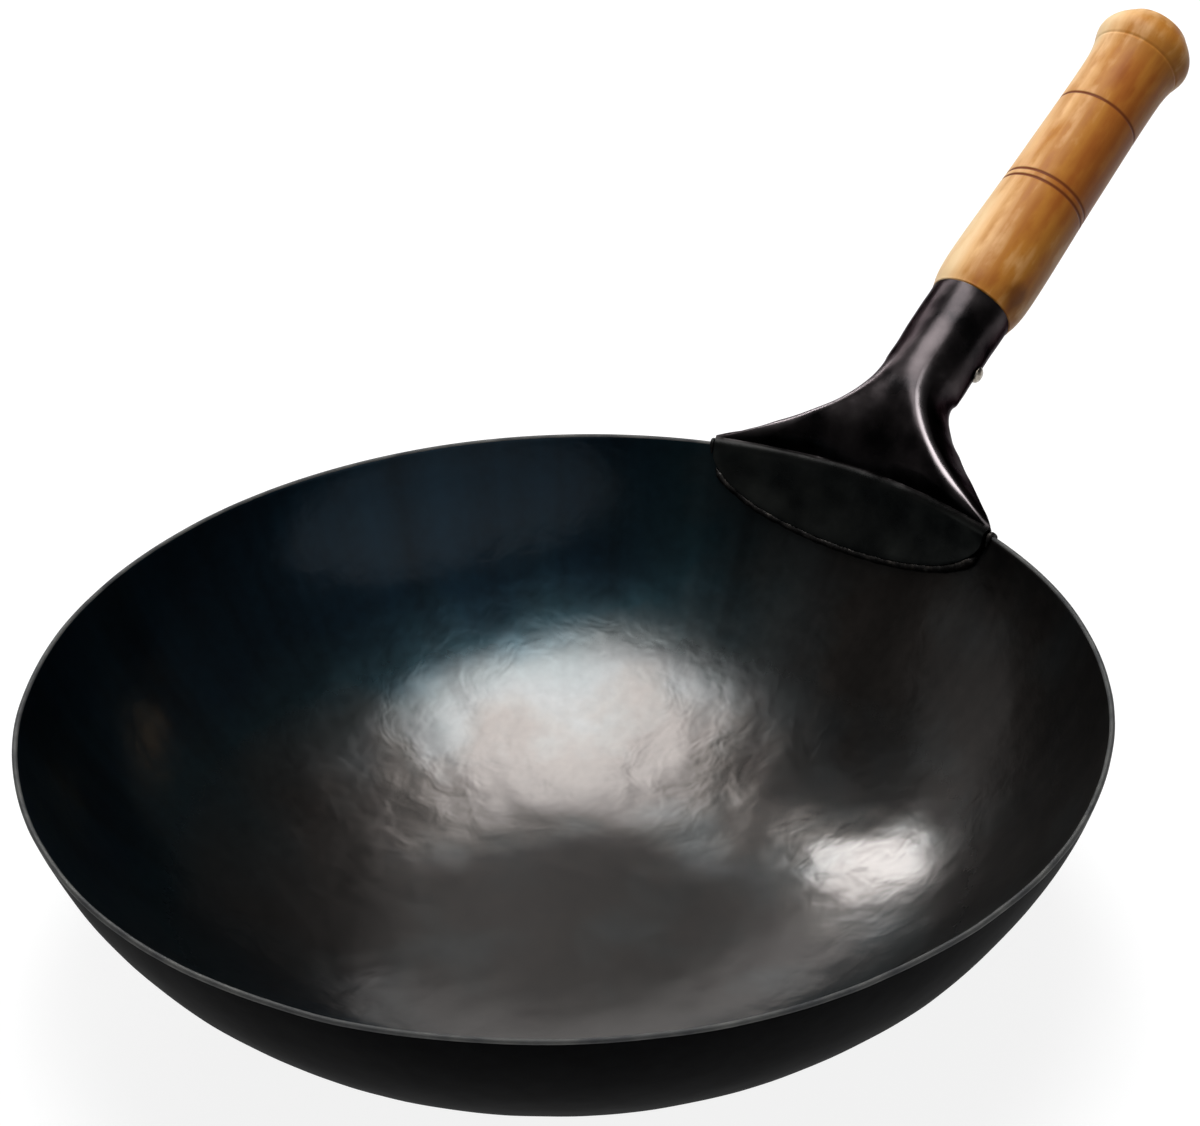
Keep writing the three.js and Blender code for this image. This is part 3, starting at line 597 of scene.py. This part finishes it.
def outside_bead_path():
    """Centre of the bead in the notch between the rim and the underside of the folded plate."""
    from_rim = BOWL_WALL / 2 + FIT_GAP + BEAD_DIAMETER / 2
    from_plate = SHEET / 2 + FIT_GAP + BEAD_DIAMETER / 2
    fold_end = fold_point(FOLD_END, FOLD_OVERHANG) - RIM_CENTRE
    span = fold_end.length
    apart = math.acos((from_rim ** 2 + span ** 2 - from_plate ** 2) / (2 * from_rim * span))
    turn = math.atan2(fold_end.y, fold_end.x) - apart
    centre = RIM_CENTRE + Vector((math.cos(turn), math.sin(turn))) * from_rim
    half_angle = FAN_HALF_ANGLE * OUTSIDE_BEAD_SHARE
    angles = [half_angle * (2 * k / BEAD_STEPS - 1) for k in range(BEAD_STEPS + 1)]
    return [around_bowl(centre, angle) for angle in angles]


def corner_weld_path(side):
    """Centre of the bead that saddles the rim beside one end of the plate."""
    reach = BOWL_WALL / 2 + CORNER_BEAD_DIAMETER / 4
    angle = side * (FAN_HALF_ANGLE + (FIT_GAP + CORNER_BEAD_DIAMETER / 2) / RIM_RADIUS)
    foot = RIM_TILT - CORNER_WELD_LEG / WALL_ARC
    turns = [math.radians(FOLD_START - SADDLE_STEP * k) for k in range(180 // SADDLE_STEP + 1)]
    over = [RIM_CENTRE + Vector((math.cos(turn), math.sin(turn))) * reach for turn in turns]
    inside = wall_point(foot, BOWL_WALL / 2 + reach)
    outside = wall_point(foot, BOWL_WALL / 2 - reach)
    return [around_bowl(p, angle) for p in [inside, *over, outside]]


for name, node, path_points, diameter, seed in (
    ("lap_weld", "lap_weld_bead", lap_bead_path(), LAP_BEAD_DIAMETER, 1.0),
    ("outside_weld", "outside_weld_bead", outside_bead_path(), BEAD_DIAMETER, 2.0),
    ("left_weld", "left_corner_weld", corner_weld_path(1), CORNER_BEAD_DIAMETER, 3.0),
    ("right_weld", "right_corner_weld", corner_weld_path(-1), CORNER_BEAD_DIAMETER, 4.0),
):
    route = bpy.data.meshes.new(name + "_route")
    route.from_pydata(path_points, [(k, k + 1) for k in range(len(path_points) - 1)], [])
    bead = grown(name, bead_tree, route, {
        "Diameter": diameter, "Ripple Spacing": 1.6 * MM, "Ripple Height": 0.08 * MM,
        "Lump Height": 1.4 * MM, "End Length": 3 * MM, "Seed": seed, "Material": weld_metal})
    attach(bead, "root")
    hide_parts(node)

# Grip. One piece of wood turned on a lathe, with a pair of scorched grooves, a third one, and a
# knob, then varnished. Its tenon sits in the rolled tube.
GRIP_LENGTH = 137 * MM
HELD_AT = 75 * MM  # where hands have darkened it most
TENON_LENGTH = TUBE_LENGTH - 3 * MM
GRIP_OUTLINE = [  # along the grip from the tube's mouth, and diameter
    (0.3, 30.8), (14, 34.2), (63, 32.1), (112, 31.2), (128, 36), (137, 25)]
END_RADIUS = 12.5 * MM
END_CROWN = 2 * MM
SCORCHED_RINGS = (50 * MM, 53 * MM, 91.5 * MM)
KNOB_RING = 121 * MM
RING_WIDTH = 1.4 * MM
RING_DEPTH = 0.4 * MM
KNOT_AT = (-5 * MM, -16.5 * MM, 7 * MM)
HEART_AT = (-30 * MM, 22 * MM, 0)
# direction of the painted light on the grip: the wood is coloured paler on this side
PAINTED_LIGHT_SIDE = (-0.2, 0.98, 0)
GRIP_TURNS = 120
GRIP_STEP = 0.35 * MM


def outline_radius(along):
    """Radius of the turned outline, on a smooth curve through its measured places."""
    points = [Vector((a * MM, d * MM / 2)) for a, d in GRIP_OUTLINE]
    last = len(points) - 1
    for k in range(last):
        low, high = 0.0, 1.0
        if along > points[k + 1].x and k + 1 < last:
            continue
        before, after = points[max(k - 1, 0)], points[min(k + 2, last)]
        a, b = points[k], points[k + 1]
        bend = [a, a + (b - before) / 6, b - (after - a) / 6, b]
        for _ in range(40):
            middle = (low + high) / 2
            low, high = (middle, high) if bezier(bend, middle).x < along else (low, middle)
        return bezier(bend, low).y
    return points[-1].y


grip_profile = [(-TENON_LENGTH, 0), (-TENON_LENGTH, tube_radius(TENON_LENGTH) - SHEET - FIT_GAP)]
grip_profile += [(FIT_GAP, tube_radius(0) - SHEET - FIT_GAP)]
body_steps = round((GRIP_LENGTH - FIT_GAP) / GRIP_STEP)
grooves = (*SCORCHED_RINGS, KNOB_RING)
for k in range(body_steps + 1):
    along = mix(FIT_GAP, GRIP_LENGTH, k / body_steps)
    groove = sum(max(0, 1 - abs(along - ring) / (RING_WIDTH / 2)) for ring in grooves)
    grip_profile.append((along, outline_radius(along) - RING_DEPTH * groove))
for s in (0.9, 0.75, 0.5, 0.25):
    grip_profile.append((GRIP_LENGTH + END_CROWN * (1 - s * s), END_RADIUS * s))
grip_profile.append((GRIP_LENGTH + END_CROWN, 0))


def turned(name, profile, turns, start, axis, first):
    """A lathe-turned solid: (along, radius) points swung round an axis from a first direction."""
    second = axis.cross(first)
    points, rings = [], []
    for along, radius in profile:
        if radius == 0:
            rings.append([len(points)] * turns)
            points.append(start + axis * along)
            continue
        rings.append(list(range(len(points), len(points) + turns)))
        for k in range(turns):
            angle = 2 * math.pi * k / turns
            out = first * math.cos(angle) + second * math.sin(angle)
            points.append(start + axis * along + out * radius)
    faces = []
    for low, high in zip(rings, rings[1:]):
        for k in range(turns):
            n = (k + 1) % turns
            corners = [low[k], low[n], high[n], high[k]]
            faces.append([c for i, c in enumerate(corners) if c not in corners[:i]])
    mesh = bpy.data.meshes.new(name)
    mesh.from_pydata(points, [], faces)
    for face in mesh.polygons:
        face.use_smooth = True
    piece = bpy.data.objects.new(name, mesh)
    scene.collection.objects.link(piece)
    return piece


# Varnished wood: straight fibres, growth rings cut at a slant, browner where it is held, a knot,
# and dark brown scorch in the turned grooves, under a thin clear varnish, with painted light that
# makes it paler towards one side. The fibres are drawn coarser than they are, so that they show.
grip_wood, tree, shader, place = finish_named("varnished_turned_wood")
to_axis = Matrix.Rotation(HANDLE_RISE - math.pi / 2, 3, "Y")
grip_place = add(tree, "ShaderNodeMapping", {
    "Vector": place, "Location": -(to_axis @ MOUTH), "Rotation": (0, HANDLE_RISE - math.pi / 2, 0)})
grip_split = add(tree, "ShaderNodeSeparateXYZ", {0: grip_place})
stretched = add(tree, "ShaderNodeVectorMath", {
    0: grip_place, 1: (1, 1, 0.06)}, operation="MULTIPLY")
fibres = add(tree, "ShaderNodeTexNoise", {
    "Vector": stretched, "Scale": 1 / (1.3 * MM), "Detail": 4.0})
slow = add(tree, "ShaderNodeVectorMath", {0: grip_place, 1: (1, 1, 0.45)}, operation="MULTIPLY")
mottle = add(tree, "ShaderNodeTexNoise", {"Vector": slow, "Scale": 1 / (10 * MM), "Detail": 4.0})
heart = add(tree, "ShaderNodeVectorMath", {0: slow, 1: HEART_AT}, operation="SUBTRACT")
heart_flat = add(tree, "ShaderNodeVectorMath", {0: heart, 1: (1, 1, 0.3)}, operation="MULTIPLY")
ring_distance = add(tree, "ShaderNodeVectorMath", {0: heart_flat}, operation="LENGTH")
ring_warp = add(tree, "ShaderNodeMath", {
    0: mottle, 1: 9 * MM, 2: ring_distance.outputs["Value"]}, operation="MULTIPLY_ADD")
ring_phase = add(tree, "ShaderNodeMath", {
    0: ring_warp, 1: 2 * math.pi / (5 * MM)}, operation="MULTIPLY")
ring_wave = add(tree, "ShaderNodeMath", {0: ring_phase}, operation="SINE")
soft_mottle = add(tree, "ShaderNodeMath", {0: mottle, 1: 0.6, 2: 0.2}, operation="MULTIPLY_ADD")
ring_tone = add(tree, "ShaderNodeMath", {
    0: ring_wave, 1: 0.03, 2: soft_mottle}, operation="MULTIPLY_ADD")
grain_tone = add(tree, "ShaderNodeMath", {
    0: fibres, 1: 0.1, 2: ring_tone}, operation="MULTIPLY_ADD")
# Painted light: the grip's colour is paler towards the side the light falls on.
to_painted_light_side = add(tree, "ShaderNodeVectorMath", {
    0: grip_place, 1: PAINTED_LIGHT_SIDE}, operation="DOT_PRODUCT")
painted_side_light = add(tree, "ShaderNodeMapRange", {
    "Value": to_painted_light_side.outputs["Value"], 1: -4 * MM, 2: 15 * MM, 3: 0.0, 4: 0.36},
    interpolation_type="SMOOTHSTEP")
side_tone = add(tree, "ShaderNodeMath", {0: painted_side_light, 1: grain_tone}, operation="ADD")
held_offset = add(tree, "ShaderNodeMath", {
    0: grip_split.outputs["Z"], 1: HELD_AT}, operation="SUBTRACT")
held_distance = add(tree, "ShaderNodeMath", {0: held_offset}, operation="ABSOLUTE")
held = add(tree, "ShaderNodeMapRange", {
    "Value": held_distance, 1: 20 * MM, 2: 65 * MM, 3: -0.04, 4: 0.09})
toned = add(tree, "ShaderNodeMath", {0: side_tone, 1: held}, operation="ADD")
grain = add(tree, "ShaderNodeValToRGB", {0: toned}, stops=[
    (0.34, "#8e4c1c"), (0.48, "#9f5d25"), (0.62, "#b2752f"), (0.8, "#dbac76"), (1.0, "#e6c596")])
to_knot = add(tree, "ShaderNodeVectorMath", {0: grip_place, 1: KNOT_AT}, operation="SUBTRACT")
knot_distance = add(tree, "ShaderNodeVectorMath", {0: to_knot}, operation="LENGTH")
knot_edge = add(tree, "ShaderNodeMath", {
    0: mottle, 1: 9 * MM, 2: knot_distance.outputs["Value"]}, operation="MULTIPLY_ADD")
knot = add(tree, "ShaderNodeMapRange", {
    "Value": knot_edge, 1: 5.5 * MM, 2: 12 * MM, 3: 0.8, 4: 0.0}, interpolation_type="SMOOTHSTEP")
knotted = add(tree, "ShaderNodeMix", {
    0: knot.outputs[0], 6: grain.outputs[0], 7: colour("#6e3f1c")}, data_type="RGBA")
char = None
for ring in SCORCHED_RINGS:
    offset = add(tree, "ShaderNodeMath", {
        0: grip_split.outputs["Z"], 1: ring}, operation="SUBTRACT")
    distance = add(tree, "ShaderNodeMath", {0: offset}, operation="ABSOLUTE")
    band = add(tree, "ShaderNodeMapRange", {
        "Value": distance, 1: 0.3 * MM, 2: 0.95 * MM, 3: 1.0, 4: 0.0},
        interpolation_type="SMOOTHSTEP")
    char = band if char is None else add(
        tree, "ShaderNodeMath", {0: char, 1: band}, operation="MAXIMUM")
charred = add(tree, "ShaderNodeMix", {
    0: char, 6: knotted.outputs[2], 7: colour("#733a1a")}, data_type="RGBA")
tree.links.new(charred.outputs[2], shader.inputs["Base Color"])
fibrous = add(tree, "ShaderNodeBump", {"Distance": 0.04 * MM, "Height": fibres})
tree.links.new(fibrous.outputs[0], shader.inputs["Normal"])
shader.inputs["Roughness"].default_value = 0.45
shader.inputs["Specular IOR Level"].default_value = 0.12
shader.inputs["Coat Weight"].default_value = 0.06
shader.inputs["Coat Roughness"].default_value = 0.25

grip = turned("wooden_grip_turned", grip_profile, GRIP_TURNS, MOUTH, AXIS, SECTION_UP)
grip.data.materials.append(grip_wood)
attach(grip, "root")
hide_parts("wooden_grip")

# Nail. One round-headed steel nail, driven through the side of the tube into the tenon to keep the
# grip in; its head is battered bright.
NAIL_AT = TENON_LENGTH - 8.5 * MM
NAIL_OUT = spoke(-105)
NAIL_SEAT = MOUTH - AXIS * NAIL_AT + NAIL_OUT * (tube_radius(NAIL_AT) + FIT_GAP)
NAIL_RADIUS = 1.5 * MM
NAIL_LENGTH = 17 * MM
NAIL_SHANK = 11 * MM
NAIL_TURNS = 40
HEAD_RADIUS = 3 * MM
HEAD_HEIGHT = 2 * MM
nail_profile = [(-NAIL_LENGTH, 0), (-NAIL_SHANK, NAIL_RADIUS), (0, NAIL_RADIUS)]
for degrees in range(0, 90, 10):
    angle = math.radians(degrees)
    nail_profile.append((HEAD_HEIGHT * math.sin(angle), HEAD_RADIUS * math.cos(angle)))
nail_profile.append((HEAD_HEIGHT, 0))
nail_steel, tree, shader, place = finish_named("battered_nail_steel")
blows = add(tree, "ShaderNodeTexNoise", {"Vector": place, "Scale": 1 / (1.6 * MM), "Detail": 3.0})
tint = add(tree, "ShaderNodeValToRGB", {0: blows}, stops=[(0.35, "#6d655b"), (0.65, "#b5aea4")])
tree.links.new(tint.outputs[0], shader.inputs["Base Color"])
battered = add(tree, "ShaderNodeBump", {"Distance": 0.15 * MM, "Height": blows})
tree.links.new(battered.outputs[0], shader.inputs["Normal"])
shader.inputs["Metallic"].default_value = 1.0
shader.inputs["Roughness"].default_value = 0.3
nail = turned("side_nail", nail_profile, NAIL_TURNS, NAIL_SEAT, NAIL_OUT, AXIS)
nail.data.materials.append(nail_steel)
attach(nail, "root")
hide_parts("retaining_nail")

# Floor. A wide white studio table top; what the camera, the metal and the varnish see of it is
# lifted to white, and it keeps the wok's shadow.
FLOOR_HALF = 8.0
FLOOR_LIFT = 0.87
floor_mesh = bpy.data.meshes.new("floor")
floor_mesh.from_pydata(
    [(-FLOOR_HALF, -FLOOR_HALF, 0), (FLOOR_HALF, -FLOOR_HALF, 0), (FLOOR_HALF, FLOOR_HALF, 0),
     (-FLOOR_HALF, FLOOR_HALF, 0)], [], [(0, 1, 2, 3)])
floor = bpy.data.objects.new("floor", floor_mesh)
scene.collection.objects.link(floor)
floor_white, tree, shader, _ = finish_named("white_table")
shader.inputs["Base Color"].default_value = colour("#808080")
shader.inputs["Roughness"].default_value = 0.9
shader.inputs["Specular IOR Level"].default_value = 0.0
ray = add(tree, "ShaderNodeLightPath")
seen = add(tree, "ShaderNodeMath", {
    0: ray.outputs["Is Camera Ray"], 1: ray.outputs["Is Glossy Ray"]}, operation="MAXIMUM")
seen_all = add(tree, "ShaderNodeMath", {
    0: seen, 1: ray.outputs["Is Transmission Ray"]}, operation="MAXIMUM")
lifted = add(tree, "ShaderNodeMath", {0: seen_all, 1: FLOOR_LIFT}, operation="MULTIPLY")
tree.links.new(lifted.outputs[0], shader.inputs["Emission Strength"])
shader.inputs["Emission Color"].default_value = (1, 1, 1, 1)
floor_mesh.materials.append(floor_white)

# Light: a long softbox overhead, wide near the camera and drawn to a soft point at its far end, a
# small one behind to the left with two wide dim panels beside it, a dim one behind the camera, and
# a dim grey room.
AWAY = math.radians(39)  # heading of the camera's view
PANEL_WIDTH, PANEL_LENGTH = 1.65, 2.7
DROP_HALF_WIDTH = 0.555
DROP_WIDEST_AT = -0.375  # along the panel from its middle
DROP_NEAR_LENGTH = 0.6
DROP_FAR_LENGTH = 1.575
DROP_NARROWING = 4.0
DROP_BRIGHT, DROP_DARK = 0.4, 1.2
for name, spot, aim, roll, shape, size, size_y, power in (
    ("overhead_softbox", (0.408, 0.330, 1.5), (0.408, 0.330, 0), 0, "RECTANGLE",
     PANEL_WIDTH, PANEL_LENGTH, 114),
    ("back_softbox", (0.60, 0.98, 0.76), (0.07, -0.07, 0.01), 35, "RECTANGLE", 0.14, 0.46, 2.7),
    ("back_glow", (0.93, 1.14, 0.59), (0.07, -0.07, 0.01), 0, "ELLIPSE", 1.0, 0.8, 1.8),
    ("left_glow", (0.0, 1.42, 0.5), (0.1, -0.07, 0.04), 0, "ELLIPSE", 1.6, 0.9, 0.8),
    ("front_fill", (-0.85, -1.8, 1.0), (0, 0, 0.05), 0, "ELLIPSE", 3.2, 1.6, 4.8),
):
    lamp = bpy.data.lights.new(name, "AREA")
    lamp.shape = shape
    lamp.size = size
    lamp.size_y = size_y
    lamp.energy = power
    holder = bpy.data.objects.new(name, lamp)
    facing = Vector(aim) - Vector(spot)
    if facing.to_2d().length:
        turn = facing.to_track_quat("-Z", "Y").to_matrix()
    else:
        turn = Matrix.Rotation(AWAY - math.pi / 2, 3, "Z")
    rolled = turn @ Matrix.Rotation(math.radians(roll), 3, "Z")
    holder.matrix_world = Matrix.Translation(spot) @ rolled.to_4x4()
    holder.visible_camera = False
    scene.collection.objects.link(holder)

overhead = bpy.data.lights["overhead_softbox"]
overhead.use_nodes = True
tree = overhead.node_tree
panel = add(tree, "ShaderNodeNewGeometry").outputs["Parametric"]
centred = add(tree, "ShaderNodeVectorMath", {0: panel, 1: (0.5, 0.5, 0)}, operation="SUBTRACT")
drop_split = add(tree, "ShaderNodeSeparateXYZ", {0: centred})
across = add(tree, "ShaderNodeMath", {
    0: drop_split.outputs["X"], 1: PANEL_WIDTH / DROP_HALF_WIDTH}, operation="MULTIPLY")
far_off = add(tree, "ShaderNodeMath", {
    0: drop_split.outputs["Y"], 1: PANEL_LENGTH, 2: -DROP_WIDEST_AT}, operation="MULTIPLY_ADD")
near_part = add(tree, "ShaderNodeMath", {0: far_off, 1: 0.0}, operation="MINIMUM")
near_share = add(tree, "ShaderNodeMath", {0: near_part, 1: DROP_NEAR_LENGTH}, operation="DIVIDE")
far_part = add(tree, "ShaderNodeMath", {0: far_off, 1: 0.0}, operation="MAXIMUM")
far_share = add(tree, "ShaderNodeMath", {0: far_part, 1: DROP_FAR_LENGTH}, operation="DIVIDE")
far_squared = add(tree, "ShaderNodeMath", {0: far_share, 1: far_share}, operation="MULTIPLY")
narrowing = add(tree, "ShaderNodeMath", {
    0: far_squared, 1: DROP_NARROWING, 2: 1.0}, operation="MULTIPLY_ADD")
across_drop = add(tree, "ShaderNodeMath", {0: across, 1: narrowing}, operation="MULTIPLY")
rounded_end = add(tree, "ShaderNodeVectorMath", {
    0: add(tree, "ShaderNodeCombineXYZ", {0: across_drop, 1: near_share})}, operation="LENGTH")
drop = add(tree, "ShaderNodeMath", {
    0: far_squared, 1: far_squared, 2: rounded_end.outputs["Value"]}, operation="MULTIPLY_ADD")
glow = add(tree, "ShaderNodeMapRange", {
    "Value": drop, 1: DROP_BRIGHT, 2: DROP_DARK, 3: 1.0, 4: 0.0}, interpolation_type="SMOOTHSTEP")
tree.links.new(glow.outputs[0], tree.nodes["Emission"].inputs["Strength"])
world = bpy.data.worlds.new("dim_room")
world.use_nodes = True
world.node_tree.nodes["Background"].inputs["Color"].default_value = colour("#3f3f3f")
scene.world = world

# Camera: a long lens from the front left, held a little off level, as the photograph was taken.
CAMERA_AT = (-0.7290, -0.5858, 0.6972)
LEVEL_RIGHT = Vector((0.6157, -0.7880, 0))
LEVEL_UP = Vector((0.4056, 0.3169, 0.8574))
CAMERA_ROLL = math.radians(-1.8)
right = LEVEL_RIGHT * math.cos(CAMERA_ROLL) + LEVEL_UP * math.sin(CAMERA_ROLL)
up = LEVEL_UP * math.cos(CAMERA_ROLL) - LEVEL_RIGHT * math.sin(CAMERA_ROLL)
lens = bpy.data.cameras.new("camera")
lens.lens = 108
lens.sensor_width = 36
camera = bpy.data.objects.new("camera", lens)
camera_turn = Matrix((right, up, right.cross(up))).transposed()
camera.matrix_world = Matrix.Translation(CAMERA_AT) @ camera_turn.to_4x4()
scene.collection.objects.link(camera)
scene.camera = camera
scene.view_settings.view_transform = "Standard"
